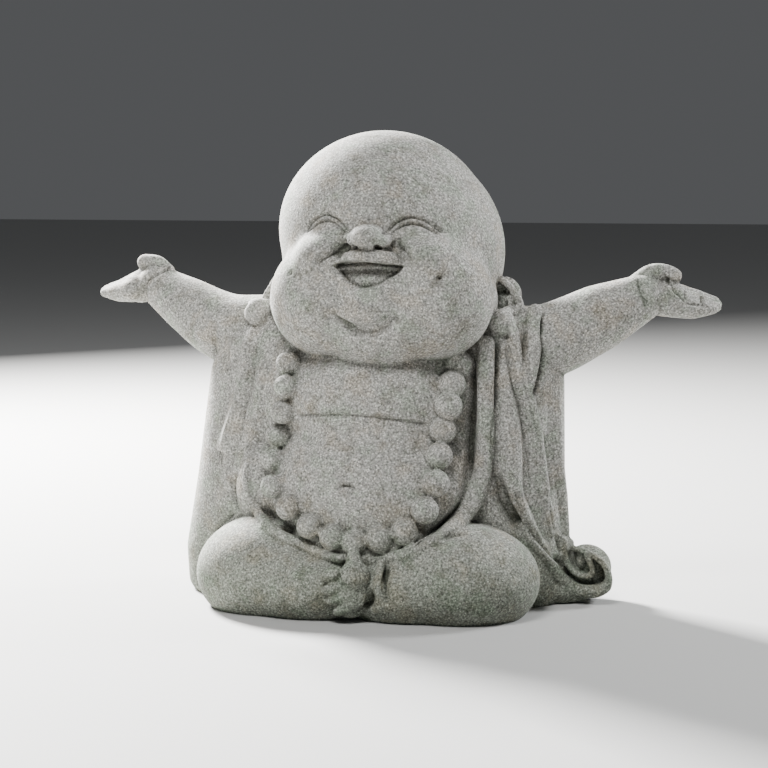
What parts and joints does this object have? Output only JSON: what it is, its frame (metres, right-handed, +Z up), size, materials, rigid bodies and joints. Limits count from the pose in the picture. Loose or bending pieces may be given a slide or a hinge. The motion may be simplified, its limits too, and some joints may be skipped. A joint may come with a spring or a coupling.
{
  "type": "monk statue",
  "caption": "Small seated laughing monk with outspread arms, a bead necklace and a draped robe, carved look, resting on a flat underside.",
  "frame": {"origin": "on the flat underside, below the middle of the body", "axes": "+X towards the figure's left hand, +Y to its back, +Z up; the figure faces -Y"},
  "size_m": [0.1737, 0.0751, 0.125],
  "materials": {
    "sandstone": "matt, fine-grained, light warm grey, speckled sandstone"
  },
  "bodies": {
    "root": {"monk_statue": "sandstone"}
  },
  "joints": []
}
